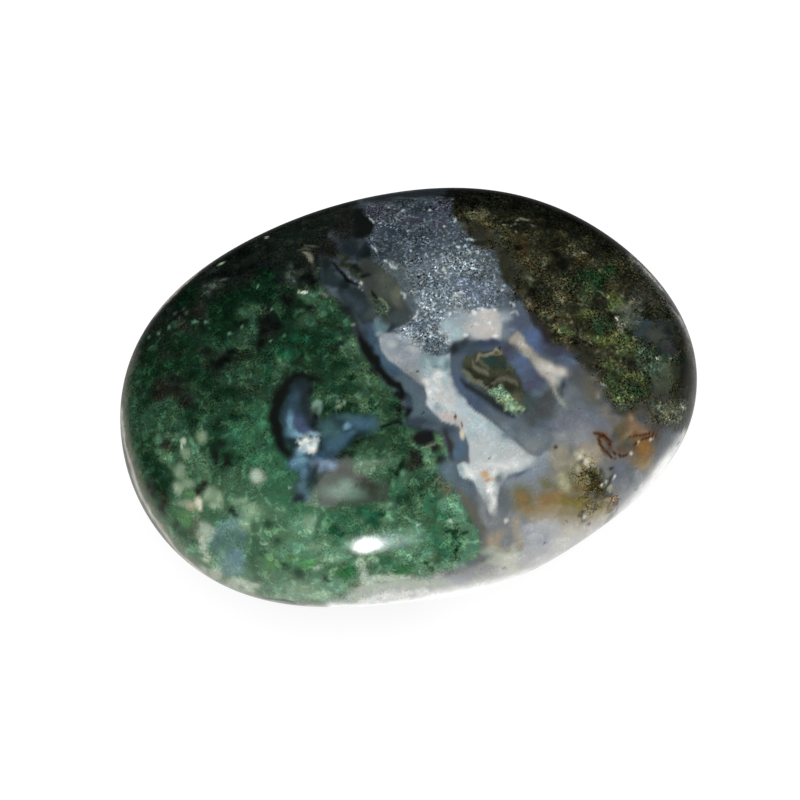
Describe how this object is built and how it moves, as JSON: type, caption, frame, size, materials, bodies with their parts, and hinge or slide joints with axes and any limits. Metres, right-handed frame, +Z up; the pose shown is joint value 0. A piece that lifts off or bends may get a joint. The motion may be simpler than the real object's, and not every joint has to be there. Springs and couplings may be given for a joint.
{
  "type": "moss agate palm stone",
  "caption": "Polished oval pebble of moss agate, green and olive moss with a white and blue-grey centre, lying on its broad side.",
  "frame": {"origin": "on the surface that the stone lies on, under the middle of its box", "axes": "+X along the stone's length, +Y across its width, +Z up through its thickness"},
  "size_m": [0.0648, 0.0512, 0.0247],
  "materials": {
    "moss_agate": "high polish"
  },
  "bodies": {
    "root": {"stone": "moss_agate"}
  },
  "joints": []
}
